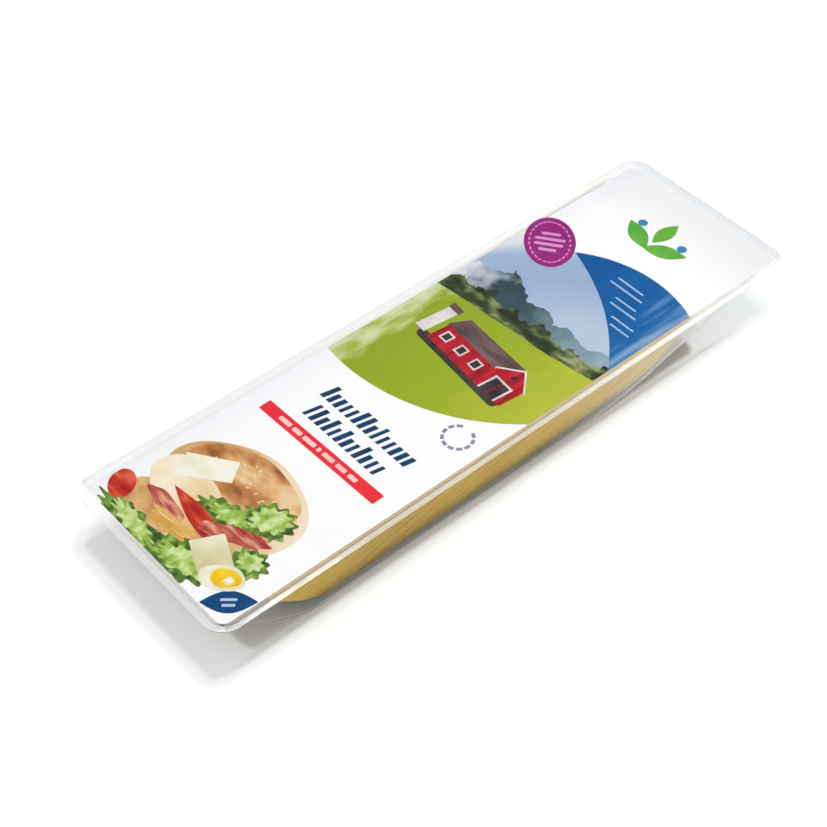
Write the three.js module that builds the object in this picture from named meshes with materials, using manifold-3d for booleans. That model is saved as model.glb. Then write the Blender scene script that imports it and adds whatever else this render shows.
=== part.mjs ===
// A sealed pack of sliced cheese: a clear formed tray whose two ends rise like a boat's, a shingled row
// of cheese slices in it, and a flat printed film sealed on the tray's flange.
// Millimetres, +Z up. The origin is on the floor under the middle of the flange, +X runs along the pack.
import * as THREE from 'three';
import { LoftGeometry } from 'three/addons/geometries/LoftGeometry.js';
import { mergeVertices } from 'three/addons/utils/BufferGeometryUtils.js';
import Module from 'manifold-3d';

// The whole pack
const PACK_LENGTH = 320;
const PACK_WIDTH = 96;
const PACK_HEIGHT = 28;
const FLANGE_CORNER = 10;
const TRAY_FILM = 0.6;
const LID_FILM = 0.3;
const GAP = 0.3;

// The tray's cup, measured on its outer face: how far it starts inside the flange's edge at each end and
// at the sides, how far each end runs in on its way down, and how round that run is
const CUP_START_LEFT = 3;
const CUP_START_RIGHT = 10;
const CUP_START_SIDE = 2.9;
const CUP_SIDE_DRAFT = 0.5;
const CUP_RUN_LEFT = 47;
const CUP_RUN_RIGHT = 106;
const CUP_CURVE_LEFT = 2;
const CUP_CURVE_RIGHT = 1.85;
const CUP_CORNERS_LEFT = [7, 14];
const CUP_CORNERS_RIGHT = [12, 24];
const CUP_FLOOR_EDGE = 3;

// The cheese: one long block of slices with slanting ends, cut into slices that rise to the right
const CHEESE_TOP = 26.4;
const CHEESE_SIDE = 6.5;
const CHEESE_START_LEFT = 22;
const CHEESE_START_RIGHT = 49;
const CHEESE_RUN_LEFT = 32;
const CHEESE_RUN_RIGHT = 60;
const CHEESE_CURVE_LEFT = 1.7;
const CHEESE_CURVE_RIGHT = 2.5;
const CHEESE_CORNER = 6;
const SLICE_THICKNESS = 2.6;
const SLICE_TILT = THREE.MathUtils.degToRad(13);
const SLICE_SIDE_WANDER = 0.7;
const SLICE_SMALLEST_VOLUME = 1500;

// A plain congruential rule for repeatable draws
const WANDER_SEED = 41;
const WANDER_FACTOR = 1664525;
const WANDER_STEP = 1013904223;
const WANDER_SPAN = 2 ** 32;

// Fineness of the faceted curves
const CORNER_STEPS = 8;
const LEVELS = 13;
const CHEESE_CORNER_STEPS = 4;
const CHEESE_LEVELS = 9;
const MERGE_DISTANCE = 1e-4;

// Colours
const CLEAR_FILM = new THREE.MeshStandardMaterial({
  color: 0xeef2f5,
  roughness: 0.12,
  metalness: 0,
  transparent: true,
  opacity: 0.35,
});
const PRINTED_FILM = new THREE.MeshStandardMaterial({ color: 0xf6f6f4, roughness: 0.22, metalness: 0 });
const CHEESE = new THREE.MeshStandardMaterial({ color: 0xe2b95c, roughness: 0.5, metalness: 0 });

const flangeTop = PACK_HEIGHT - LID_FILM - GAP;
const flangeUnderside = flangeTop - TRAY_FILM;

const wasm = await Module();
wasm.setup();

// A closed geometry as a manifold-3d solid.
function toSolid(geometry) {
  const bare = new THREE.BufferGeometry();
  bare.setAttribute('position', geometry.getAttribute('position'));
  bare.setIndex(geometry.index);
  const merged = mergeVertices(bare, MERGE_DISTANCE);
  return new wasm.Manifold(new wasm.Mesh({
    numProp: 3,
    vertProperties: merged.attributes.position.array,
    triVerts: new Uint32Array(merged.index.array),
  }));
}

// A manifold-3d solid as a geometry.
function toGeometry(solid) {
  const { vertProperties, triVerts } = solid.getMesh();
  const geometry = new THREE.BufferGeometry();
  geometry.setAttribute('position', new THREE.BufferAttribute(vertProperties, 3));
  geometry.setIndex(new THREE.BufferAttribute(triVerts, 1));
  geometry.computeVertexNormals();
  return geometry;
}

// Repeatable draws between -1 and 1.
function makeWander(seed) {
  let state = seed;
  return () => {
    state = (state * WANDER_FACTOR + WANDER_STEP) % WANDER_SPAN;
    return (2 * state) / WANDER_SPAN - 1;
  };
}

// One level of a loft: a rectangle from left to right and from -half to half, with its left and its
// right corners rounded by their own radii, counterclockwise seen from above.
function roundedOutline({ left, right, half, leftCorner, rightCorner, z }, steps) {
  const corners = [
    { x: right - rightCorner, y: half - rightCorner, radius: rightCorner, turn: 0 },
    { x: left + leftCorner, y: half - leftCorner, radius: leftCorner, turn: 1 },
    { x: left + leftCorner, y: leftCorner - half, radius: leftCorner, turn: 2 },
    { x: right - rightCorner, y: rightCorner - half, radius: rightCorner, turn: 3 },
  ];
  return corners.flatMap(({ x, y, radius, turn }) =>
    Array.from({ length: steps + 1 }, (_, step) => {
      const angle = (turn + step / steps) * (Math.PI / 2);
      return new THREE.Vector3(x + radius * Math.cos(angle), y + radius * Math.sin(angle), z);
    }));
}

// How far along its run an end has come at a depth, both as shares of the whole: steep at the top and
// flattening out towards the floor.
function endRun(depth, curve) {
  return 1 - (1 - depth) ** (1 / curve);
}

// How far a side with a rounded floor edge stands in at a height above the floor.
function floorEdgeInset(height, radius) {
  if (height >= radius) {
    return 0;
  }
  return radius - Math.sqrt(radius ** 2 - (radius - height) ** 2);
}

// The cup's outline at a height, moved in by a distance from its outer face.
function cupLevel(z, inward) {
  const height = z - inward;
  const depth = 1 - height / (flangeTop - inward);
  const cornerAt = ([top, bottom]) => top + (bottom - top) * depth - inward;
  return {
    left: -PACK_LENGTH / 2 + CUP_START_LEFT + inward + CUP_RUN_LEFT * endRun(depth, CUP_CURVE_LEFT),
    right: PACK_LENGTH / 2 - CUP_START_RIGHT - inward - CUP_RUN_RIGHT * endRun(depth, CUP_CURVE_RIGHT),
    half: PACK_WIDTH / 2 - CUP_START_SIDE - inward - CUP_SIDE_DRAFT * depth
      - floorEdgeInset(height, CUP_FLOOR_EDGE - inward),
    leftCorner: cornerAt(CUP_CORNERS_LEFT),
    rightCorner: cornerAt(CUP_CORNERS_RIGHT),
    z,
  };
}

// Heights from a floor to a top, closer together near the floor where the ends flatten out.
function levelHeights(floor, top, count) {
  return Array.from({ length: count + 1 }, (_, level) => floor + (top - floor) * (level / count) ** 2);
}

function flangeOutline(z) {
  return roundedOutline({
    left: -PACK_LENGTH / 2,
    right: PACK_LENGTH / 2,
    half: PACK_WIDTH / 2,
    leftCorner: FLANGE_CORNER,
    rightCorner: FLANGE_CORNER,
    z,
  }, CORNER_STEPS);
}

// The tray: a cup with its flange, hollowed by the same cup moved in by the film's thickness.
function makeTray() {
  const outside = levelHeights(0, flangeUnderside, LEVELS).map((z) => cupLevel(z, 0));
  const inside = levelHeights(TRAY_FILM, flangeTop, LEVELS).map((z) => cupLevel(z, TRAY_FILM));
  const mouth = inside[LEVELS];
  const full = new LoftGeometry([
    ...outside.map((level) => roundedOutline(level, CORNER_STEPS)),
    flangeOutline(flangeUnderside),
    flangeOutline(flangeTop),
  ], { capStart: true, capEnd: true });
  const hollow = new LoftGeometry([
    ...inside.map((level) => roundedOutline(level, CORNER_STEPS)),
    roundedOutline({ ...mouth, z: mouth.z + TRAY_FILM }, CORNER_STEPS),
  ], { capStart: true, capEnd: true });
  return toGeometry(toSolid(full).subtract(toSolid(hollow)));
}

// The printed lid: one flat film with the flange's own outline.
function makeLid() {
  const outline = new THREE.Shape(flangeOutline(0).map(({ x, y }) => new THREE.Vector2(x, y)));
  const film = new THREE.ExtrudeGeometry(outline, { depth: LID_FILM, bevelEnabled: false });
  return film.translate(0, 0, PACK_HEIGHT - LID_FILM);
}

// The block that all the slices together fill: slanting ends, kept clear of the tray.
function makeCheeseBlock() {
  const floor = TRAY_FILM + GAP;
  const levels = levelHeights(floor, CHEESE_TOP, CHEESE_LEVELS).map((z) => {
    const depth = 1 - (z - floor) / (CHEESE_TOP - floor);
    return roundedOutline({
      left: -PACK_LENGTH / 2 + CHEESE_START_LEFT + CHEESE_RUN_LEFT * endRun(depth, CHEESE_CURVE_LEFT),
      right: PACK_LENGTH / 2 - CHEESE_START_RIGHT - CHEESE_RUN_RIGHT * endRun(depth, CHEESE_CURVE_RIGHT),
      half: PACK_WIDTH / 2 - CHEESE_SIDE + SLICE_SIDE_WANDER,
      leftCorner: CHEESE_CORNER,
      rightCorner: CHEESE_CORNER,
      z,
    }, CHEESE_CORNER_STEPS);
  });
  const room = levelHeights(floor, CHEESE_TOP, CHEESE_LEVELS)
    .map((z) => roundedOutline(cupLevel(z, TRAY_FILM + GAP), CHEESE_CORNER_STEPS));
  const wanted = toSolid(new LoftGeometry(levels, { capStart: true, capEnd: true }));
  return wanted.intersect(toSolid(new LoftGeometry(room, { capStart: true, capEnd: true })));
}

// The slices: slanting slabs cut from the block, each a little wider or narrower than its neighbours.
function makeSlices() {
  const block = makeCheeseBlock();
  const wander = makeWander(WANDER_SEED);
  const pitch = (SLICE_THICKNESS + GAP) / Math.sin(SLICE_TILT);
  const slant = CHEESE_TOP / Math.tan(SLICE_TILT);
  const first = -PACK_LENGTH / 2 + CHEESE_START_LEFT - slant;
  const last = PACK_LENGTH / 2 - CHEESE_START_RIGHT;
  const slices = [];
  for (let foot = first; foot < last; foot += pitch) {
    const nearSide = -PACK_WIDTH / 2 + CHEESE_SIDE + SLICE_SIDE_WANDER * wander();
    const farSide = PACK_WIDTH / 2 - CHEESE_SIDE + SLICE_SIDE_WANDER * wander();
    const slab = new THREE.BoxGeometry(2 * slant, farSide - nearSide, SLICE_THICKNESS);
    slab.rotateY(-SLICE_TILT);
    slab.translate(foot + slant / 2, (nearSide + farSide) / 2, CHEESE_TOP / 2);
    const slice = block.intersect(toSolid(slab));
    if (slice.volume() > SLICE_SMALLEST_VOLUME) {
      slices.push(toGeometry(slice));
    }
  }
  return slices;
}

function namedMesh(name, geometry, material) {
  const mesh = new THREE.Mesh(geometry, material);
  mesh.name = name;
  return mesh;
}

const group = new THREE.Group();
group.add(namedMesh('tray', makeTray(), CLEAR_FILM));
group.add(namedMesh('lid_film', makeLid(), PRINTED_FILM));
makeSlices().forEach((slice, index) => {
  group.add(namedMesh(`cheese_slice_${String(index + 1).padStart(2, '0')}`, slice, CHEESE));
});

export default group;
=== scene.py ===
"""A sealed pack of sliced cheese: clear formed tray, shingled slices and a printed film lid.

Metres, +Z up, on the frame's own axes: +X runs along the pack to its longer, shallower end, +Y across it to
the far long side. Sizes are written in millimetres and turned into metres where a mesh is made.
"""

import logging
import math
import random
from dataclasses import dataclass
from enum import Enum
from typing import Sequence, Union

import bmesh
import bpy
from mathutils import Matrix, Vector


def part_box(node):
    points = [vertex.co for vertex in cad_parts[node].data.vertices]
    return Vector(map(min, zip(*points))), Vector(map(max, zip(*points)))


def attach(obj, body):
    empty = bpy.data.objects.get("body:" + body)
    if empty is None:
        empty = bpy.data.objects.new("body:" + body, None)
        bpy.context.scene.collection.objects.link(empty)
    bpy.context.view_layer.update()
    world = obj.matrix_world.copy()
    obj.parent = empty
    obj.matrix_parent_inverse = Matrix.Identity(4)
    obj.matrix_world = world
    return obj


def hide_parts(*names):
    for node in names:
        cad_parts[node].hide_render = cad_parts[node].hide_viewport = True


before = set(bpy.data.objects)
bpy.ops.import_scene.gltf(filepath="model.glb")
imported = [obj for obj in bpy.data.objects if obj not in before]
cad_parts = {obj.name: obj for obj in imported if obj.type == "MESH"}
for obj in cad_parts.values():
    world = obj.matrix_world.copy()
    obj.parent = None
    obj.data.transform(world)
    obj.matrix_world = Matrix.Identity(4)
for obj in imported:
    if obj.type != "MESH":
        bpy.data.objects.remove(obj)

LOG = logging.getLogger("cheese_pack")
MM = 0.001

# How much of a screen colour's light an ink gives back, because the studio lights the lid brighter than white
PRINT_SHARE = 0.785

# Range that holds most of a noise pattern's values
NOISE_MIDDLE = (0.3, 0.7)

# Half the stretch along X, in millimetres, that the white ground's clearness is given for
LONG_REACH = 160.0

Point = tuple[float, float]
Triple = tuple[float, float, float]
Screen = tuple[int, int, int]
Outline = list[Point]
Socket = bpy.types.NodeSocket
Input = Union[Socket, float, Sequence[float]]


class Slot(Enum):
    """Material slot names."""

    TRAY = "clear_tray"
    FILM = "printed_film"
    CHEESE = "cheese"


def paint(red: int, green: int, blue: int, strength: float = 1.0) -> Triple:
    """Turn a colour as seen on a screen into a surface colour.

    Args:
        red: Red from 0 to 255.
        green: Green from 0 to 255.
        blue: Blue from 0 to 255.
        strength: Share of the light that is kept.

    Returns:
        The linear colour.
    """
    shares = (value / 255 for value in (red, green, blue))
    linear = (s / 12.92 if s <= 0.04045 else ((s + 0.055) / 1.055) ** 2.4 for s in shares)
    return tuple(strength * value for value in linear)


def ease(value: float, start: float, end: float) -> float:
    """Rise smoothly from 0 at start to 1 at end.

    Args:
        value: Where to read the curve.
        start: Where it leaves 0.
        end: Where it reaches 1.

    Returns:
        A share from 0 to 1.
    """
    share = min(1.0, max(0.0, (value - start) / (end - start)))
    return share * share * (3 - 2 * share)


def between(first: Point, second: Point, share: float) -> Point:
    """Point at a share of the way from one point to another."""
    return first[0] + share * (second[0] - first[0]), first[1] + share * (second[1] - first[1])


# Outlines in millimetres, counterclockwise seen from above


def place(outline: Sequence[Point], centre: Point, turn: float = 0.0) -> Outline:
    """Turn an outline about its own origin and move it to its place.

    Args:
        outline: Corners about the origin.
        centre: Where the origin goes.
        turn: Degrees counterclockwise.

    Returns:
        The placed outline.
    """
    cosine = math.cos(math.radians(turn))
    sine = math.sin(math.radians(turn))
    return [(centre[0] + x * cosine - y * sine, centre[1] + x * sine + y * cosine) for x, y in outline]


def circle_part(centre: Point, radius: float, start: float, stop: float, steps: int) -> Outline:
    """Points along part of a circle.

    Args:
        centre: The circle's middle.
        radius: Its radius.
        start: Degrees where the part starts.
        stop: Degrees where it ends.
        steps: Number of steps.

    Returns:
        The points.
    """
    angles = [math.radians(start + (stop - start) * step / steps) for step in range(steps + 1)]
    return [(centre[0] + radius * math.cos(a), centre[1] + radius * math.sin(a)) for a in angles]


def ellipse(centre: Point, halves: Point, turn: float = 0.0, steps: int = 48) -> Outline:
    """Outline of an ellipse.

    Args:
        centre: Its middle.
        halves: Half its first and half its second axis.
        turn: Degrees from +X to the first axis.
        steps: Number of corners.

    Returns:
        The outline.
    """
    angles = [2 * math.pi * step / steps for step in range(steps)]
    return place([(halves[0] * math.cos(a), halves[1] * math.sin(a)) for a in angles], centre, turn)


def rounded_box(left: float, right: float, low: float, high: float, corner: float, steps: int = 6) -> Outline:
    """Outline of a rectangle with rounded corners.

    Args:
        left: Lowest X.
        right: Highest X.
        low: Lowest Y.
        high: Highest Y.
        corner: Corner radius.
        steps: Steps in each corner.

    Returns:
        The outline.
    """
    centres = [(right - corner, high - corner), (left + corner, high - corner), (left + corner, low + corner),
               (right - corner, low + corner)]
    outline = []
    for turn, centre in enumerate(centres):
        outline += circle_part(centre, corner, 90 * turn, 90 * turn + 90, steps)
    return outline


def bar(centre: Point, turn: float, offset: float, long: float, half: float, corner: float) -> Outline:
    """Outline of a bar with rounded ends.

    Args:
        centre: Where its own origin goes.
        turn: Degrees from +X to its length.
        offset: How far it lies beside its origin.
        long: Its length.
        half: Half its width.
        corner: Its corner radius.

    Returns:
        The outline.
    """
    return place(rounded_box(-long / 2, long / 2, offset - half, offset + half, corner, 3), centre, turn)


def pointed_lens(centre: Point, halves: Point, turn: float, steps: int = 14) -> Outline:
    """Outline of a lens: two equal arcs that meet in a point at both ends.

    Args:
        centre: Its middle.
        halves: Half its length and half its width.
        turn: Degrees from +X to its length.
        steps: Steps in each arc.

    Returns:
        The outline.
    """
    shares = [step / steps for step in range(steps)]
    lower = [(halves[0] * (2 * s - 1), -halves[1] * math.sin(math.pi * s)) for s in shares]
    return place(lower + [(-x, -y) for x, y in lower], centre, turn)


def frilly(centre: Point, halves: Point, turn: float, frills: int, depth: float, seed: int) -> Outline:
    """Outline of a leafy or lumpy shape: an ellipse whose edge waves in and out unevenly.

    Args:
        centre: Its middle.
        halves: Half its first and half its second axis.
        turn: Degrees from +X to the first axis.
        frills: Number of waves round the edge.
        depth: Depth of the waves as a share of the radius.
        seed: Start of the random draws.

    Returns:
        The outline.
    """
    draw = random.Random(seed)
    steps = max(48, 7 * frills)
    start, drift = draw.uniform(0, 6), draw.uniform(0, 6)
    outline = []
    for step in range(steps):
        angle = 2 * math.pi * step / steps
        wave = math.sin(frills * angle + start) + 0.5 * math.sin((frills // 2 + 1) * angle + drift)
        out = 1 + depth * wave / 1.5
        outline.append((halves[0] * out * math.cos(angle), halves[1] * out * math.sin(angle)))
    return place(outline, centre, turn)


def below(crest: Sequence[Point], wander: float, seed: int) -> Outline:
    """Outline of everything below a rough ridge that runs across the lid.

    Args:
        crest: The ridge's corners from the far side to the near side.
        wander: How far the middle of each part moves aside, as a share of the part's length.
        seed: Start of the random draws.

    Returns:
        The outline.
    """
    draw = random.Random(seed)
    line = list(crest)
    for _ in range(4):
        finer = [line[0]]
        for (ax, ay), (bx, by) in zip(line, line[1:]):
            aside = draw.uniform(-wander, wander)
            finer += [((ax + bx) / 2 + aside * (by - ay), (ay + by) / 2 - aside * (bx - ax)), (bx, by)]
        line = finer
    return [(-60.0, 46.0), (-60.0, -46.0), *reversed(line)]


def clip(outline: Sequence[Point], window: Sequence[Point]) -> Outline:
    """Cut an outline back to a convex window.

    Args:
        outline: The outline to cut.
        window: A convex outline, counterclockwise.

    Returns:
        The part inside the window, empty if there is none.
    """
    kept = list(outline)
    for (ax, ay), (bx, by) in zip(window, [*window[1:], window[0]]):
        side = [(bx - ax) * (y - ay) - (by - ay) * (x - ax) for x, y in kept]
        cut: Outline = []
        for index, here in enumerate(kept):
            was, now = side[index - 1], side[index]
            if (now >= 0) != (was >= 0):
                cut.append(between(kept[index - 1], here, was / (was - now)))
            if now >= 0:
                cut.append(here)
        kept = cut
        if len(kept) < 3:
            return []
    return kept


# Finishes


@dataclass
class Nodes:
    """A node tree and the steps that finishes are built from."""

    tree: bpy.types.NodeTree

    def feed(self, target: Socket, value: Input) -> None:
        """Set an input or link an output to it.

        Args:
            target: The input.
            value: An output to link, or the value to set.
        """
        if isinstance(value, bpy.types.NodeSocket):
            self.tree.links.new(value, target)
        elif target.type == "RGBA":
            target.default_value = (*value, 1.0)
        else:
            target.default_value = value

    def add(self, kind: str, **values: Input) -> bpy.types.Node:
        """Add a node.

        Args:
            kind: Its type, without the word ShaderNode.
            values: What goes into it, by input name with _ for a space.

        Returns:
            The node.
        """
        made = self.tree.nodes.new(f"ShaderNode{kind}")
        for key, value in values.items():
            self.feed(made.inputs[key.replace("_", " ")], value)
        return made

    def surface(self, **values: Input) -> None:
        """Set or link the shader's own inputs, by name with _ for a space."""
        for key, value in values.items():
            self.feed(self.tree.nodes["Principled BSDF"].inputs[key.replace("_", " ")], value)

    def place(self) -> Socket:
        """Place on the finished piece, in metres."""
        return self.add("TexCoord").outputs["Object"]

    def combine(self, operation: str, first: Input, second: Input) -> Socket:
        """Work two inputs into one number.

        Args:
            operation: ADD, MAXIMUM or, for two directions, DOT_PRODUCT.
            first: One input.
            second: The other input.

        Returns:
            The number.
        """
        made = self.add("VectorMath" if operation == "DOT_PRODUCT" else "Math")
        made.operation = operation
        self.feed(made.inputs[0], first)
        self.feed(made.inputs[1], second)
        return made.outputs["Value"]

    def mix(self, share: Input, first: Input, second: Input, blend: str = "MIX") -> Socket:
        """Mix two colours.

        Args:
            share: Share of the second one.
            first: The colour at share 0.
            second: The colour at share 1.
            blend: MIX or MULTIPLY.

        Returns:
            The colour.
        """
        made = self.add("Mix")
        made.data_type = "RGBA"
        made.blend_type = blend
        for key, value in {"Factor": share, "A": first, "B": second}.items():
            self.feed(made.inputs[key], value)
        return made.outputs["Result"]

    def span(self, source: Socket, ends: Point, results: Point = (0.0, 1.0)) -> Socket:
        """Map a value's range to another one, held at both ends.

        Args:
            source: The value.
            ends: Where its range starts and ends.
            results: What it becomes there.

        Returns:
            The mapped value.
        """
        return self.add("MapRange", Value=source, From_Min=ends[0], From_Max=ends[1], To_Min=results[0],
                        To_Max=results[1]).outputs["Result"]

    def noise(self, scale: float, detail: float = 3.0, stretch: Triple = (1.0, 1.0, 1.0)) -> Socket:
        """Add a noise pattern on the piece.

        Args:
            scale: Pattern repeats per metre, roughly.
            detail: Noise detail.
            stretch: Factors along X, Y and Z.

        Returns:
            The noise's value.
        """
        stretched = self.add("Mapping", Vector=self.place(), Scale=stretch).outputs[0]
        return self.add("TexNoise", Vector=stretched, Scale=scale, Detail=detail).outputs["Fac"]

    def spread(self, source: Socket, low: float, high: float) -> Socket:
        """Spread the middle of a noise pattern over a range."""
        return self.span(source, NOISE_MIDDLE, (low, high))

    def bump(self, source: Socket, height: float) -> Socket:
        """Turn a pattern into a fine relief of a height in metres."""
        return self.add("Bump", Height=source, Distance=height).outputs["Normal"]

    def reach(self, axis: str, start: float, end: float, change: float = 1.0) -> Socket:
        """Run from 0 to a change between two places on an axis.

        Args:
            axis: X, Y or Z.
            start: Place in millimetres where it leaves 0.
            end: Place where the change is complete.
            change: The value there.

        Returns:
            The value.
        """
        along = self.add("SeparateXYZ", Vector=self.place()).outputs[axis]
        return self.span(along, (start * MM, end * MM), (0.0, change))

    def fade(self, colour: Socket, axis: str, full: float, none: float, share: Triple) -> Socket:
        """Tone a colour towards one end of an axis.

        Args:
            colour: The colour.
            axis: X, Y or Z.
            full: Place in millimetres from which it is toned in full.
            none: Place up to which it stays as it is.
            share: What it is multiplied by in full.

        Returns:
            The toned colour.
        """
        level = self.mix(self.reach(axis, full, none), share, (1.0, 1.0, 1.0))
        return self.mix(1.0, colour, level, "MULTIPLY")

    def ramp(self, share: Socket, stops: Sequence[tuple[float, Triple]]) -> Socket:
        """Run through colours.

        Args:
            share: Where to read the run, from 0 to 1.
            stops: At least two places in it, each with its colour.

        Returns:
            The colour.
        """
        made = self.add("ValToRGB", Fac=share)
        elements = made.color_ramp.elements
        while len(elements) < len(stops):
            elements.new(0.5)
        for element, (position, colour) in zip(elements, stops):
            element.position = position
            element.color = (*colour, 1.0)
        return made.outputs["Color"]

    def pass_light(self, share: Socket) -> None:
        """Let part of the lamps' and of the bounced light pass straight through each face.

        Args:
            share: The part that passes, as a colour.
        """
        ray = self.add("LightPath").outputs
        either = self.combine("MAXIMUM", ray["Is Shadow Ray"], ray["Is Diffuse Ray"])
        choice = self.add("MixShader", Fac=either)
        self.feed(choice.inputs[1], self.tree.nodes["Principled BSDF"].outputs[0])
        self.feed(choice.inputs[2], self.add("BsdfTransparent", Color=share).outputs[0])
        self.feed(self.tree.nodes["Material Output"].inputs["Surface"], choice.outputs[0])


@dataclass(frozen=True)
class Finish:
    """What every finish shares: a name and how its material is made."""

    name: str

    def make(self) -> bpy.types.Material:
        """Build the material.

        Returns:
            The material.
        """
        material = bpy.data.materials.new(self.name)
        material.use_nodes = True
        self.dress(Nodes(material.node_tree))
        return material

    def dress(self, nodes: Nodes) -> None:
        """Build the look on a material's nodes; every finish has its own."""
        raise NotImplementedError


@dataclass(frozen=True)
class Ink(Finish):
    """Printed ink: a run of colours along one direction, broken up by a fine pattern.

    The colours are as the photograph shows them. Their places in the run are even unless they are given.
    Passing holds places along the pack, each with the share of the light that the ink lets through there.
    """

    colours: Sequence[Screen] = ()
    places: Sequence[float] = ()
    along: Triple = (0.0, 0.0, 0.0)
    ends: Point = (0.0, 1.0)
    grain: float = 0.3
    scale: float = 90.0
    stretch: Triple = (1.0, 1.0, 1.0)
    gloss: Point = (0.36, 0.48)
    relief: float = 0.000004
    passing: Sequence[Point] = ()

    def dress(self, nodes: Nodes) -> None:
        """Build the look.

        Args:
            nodes: The material's nodes.
        """
        middle = 0.5
        if any(self.along):
            distance = nodes.combine("DOT_PRODUCT", nodes.place(), self.along)
            middle = nodes.span(distance, tuple(end * MM for end in self.ends))
        speckle = nodes.spread(nodes.noise(self.scale, 5.0, self.stretch), -self.grain, self.grain)
        last = len(self.colours) - 1
        places = self.places or [index / last for index in range(last + 1)]
        stops = [(where, paint(*colour, PRINT_SHARE)) for where, colour in zip(places, self.colours)]
        fine = nodes.noise(900.0, 2.0)
        nodes.surface(
            Base_Color=nodes.ramp(nodes.combine("ADD", middle, speckle), stops),
            Roughness=nodes.spread(fine, *self.gloss),
            Specular_IOR_Level=0.04,
            Normal=nodes.bump(fine, self.relief),
        )
        if self.passing:
            half = LONG_REACH
            stops = [((x + half) / (2 * half), (level,) * 3) for x, level in self.passing]
            nodes.pass_light(nodes.ramp(nodes.reach("X", -half, half), stops))


@dataclass(frozen=True)
class ClearPlastic(Finish):
    """Clear plastic that bends light and lets lamps shine through it.

    A tone is an axis, the place where it is full, the place where it is none, and its colour. A veil is an
    axis, the places where its milkiness starts and is full, and how milky it is.
    """

    tint: Triple = (0.94, 0.96, 0.965)
    bend: float = 1.4
    gloss: Point = (0.03, 0.1)
    ripple: float = 0.00002
    uneven: float = 0.97
    slant_blend: float = 0.12
    slant_share: Triple = (0.5, 0.5, 0.5)
    tones: Sequence[tuple[str, float, float, Triple]] = ()
    veils: Sequence[tuple[str, float, float, float]] = ()

    def dress(self, nodes: Nodes) -> None:
        """Build the look.

        Args:
            nodes: The material's nodes.
        """
        ripple = nodes.noise(70.0, 2.0)
        colour = nodes.mix(ripple, tuple(self.uneven * value for value in self.tint), self.tint)
        for tone in self.tones:
            colour = nodes.fade(colour, *tone)
        clear = 1.0
        for axis, start, end, share in self.veils:
            clear = nodes.combine("ADD", nodes.reach(axis, start, end, -share), clear)
        nodes.surface(
            Base_Color=colour,
            Roughness=nodes.spread(ripple, *self.gloss),
            IOR=self.bend,
            Transmission_Weight=clear,
            Normal=nodes.bump(ripple, self.ripple),
        )
        slant = nodes.add("LayerWeight", Blend=self.slant_blend).outputs["Fresnel"]
        nodes.pass_light(nodes.mix(slant, self.tint, self.slant_share))


@dataclass(frozen=True)
class Cheese(Finish):
    """Golden semi-hard cheese in soft patches, with painted shade darkening its foot, and paler towards the
    longer end.
    """

    pale: Triple = paint(220, 176, 44)
    deep: Triple = paint(208, 162, 26)

    def dress(self, nodes: Nodes) -> None:
        """Build the look.

        Args:
            nodes: The material's nodes.
        """
        colour = nodes.mix(nodes.spread(nodes.noise(40.0, 2.0), 0.0, 1.0), self.deep, self.pale)
        # Painted shade: the colour darkens towards the slices' foot, near the tray's floor.
        colour = nodes.fade(colour, "Z", 1.0, 9.0, (0.52, 0.55, 0.9))
        grain = nodes.noise(700.0, 4.0)
        nodes.surface(
            Base_Color=nodes.fade(colour, "X", 110.0, -40.0, (1.22, 1.28, 2.6)),
            Roughness=nodes.spread(grain, 0.34, 0.5),
            Specular_IOR_Level=0.3,
            Subsurface_Weight=0.25,
            Subsurface_Scale=0.002,
            Subsurface_Radius=(1.0, 0.6, 0.25),
            Normal=nodes.bump(grain, 0.00005),
        )


@dataclass(frozen=True)
class FloorPaint(Finish):
    """Matt white studio paper with a barely visible unevenness."""

    white: float = 0.68

    def dress(self, nodes: Nodes) -> None:
        """Build the look.

        Args:
            nodes: The material's nodes.
        """
        shade = nodes.mix(nodes.noise(4.0, 2.0), (self.white - 0.006,) * 3, (self.white,) * 3)
        nodes.surface(Base_Color=shade, Roughness=0.9, Specular_IOR_Level=0.1)


# Modelling steps that several sub-assemblies share


def clear_selection() -> None:
    """Leave object mode clean, with nothing selected."""
    if bpy.context.object and bpy.context.object.mode != "OBJECT":
        bpy.ops.object.mode_set(mode="OBJECT")
    bpy.ops.object.select_all(action="DESELECT")


def pick(piece: bpy.types.Object) -> None:
    """Select one object and nothing else."""
    clear_selection()
    piece.select_set(True)
    bpy.context.view_layer.objects.active = piece


def cut_lines(piece: bpy.types.Object, axis: int, places: Sequence[float]) -> None:
    """Cut a mesh by planes across one axis, so that it can follow a curved surface.

    Args:
        piece: The object, which ends in object mode.
        axis: 0, 1 or 2 for X, Y or Z.
        places: Where the planes are, in metres.
    """
    pick(piece)
    bpy.ops.object.mode_set(mode="EDIT")
    for where in places:
        bpy.ops.mesh.select_all(action="SELECT")
        at = [0.0, 0.0, 0.0]
        across = [0.0, 0.0, 0.0]
        at[axis] = where
        across[axis] = 1.0
        bpy.ops.mesh.bisect(plane_co=at, plane_no=across)
    bpy.ops.object.mode_set(mode="OBJECT")


def add_modifier(piece: bpy.types.Object, kind: str, **values: object) -> None:
    """Add a modifier with its settings and apply it.

    Args:
        piece: The object.
        kind: The modifier's type.
        values: Its settings by name.
    """
    pick(piece)
    bpy.ops.object.modifier_add(type=kind)
    modifier = piece.modifiers[-1]
    for key, value in values.items():
        setattr(modifier, key, value)
    bpy.ops.object.modifier_apply(modifier=modifier.name)


def smooth(piece: bpy.types.Object, degrees: float) -> None:
    """Shade a piece smooth except at edges sharper than an angle."""
    pick(piece)
    bpy.ops.object.shade_smooth_by_angle(angle=math.radians(degrees))


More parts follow.
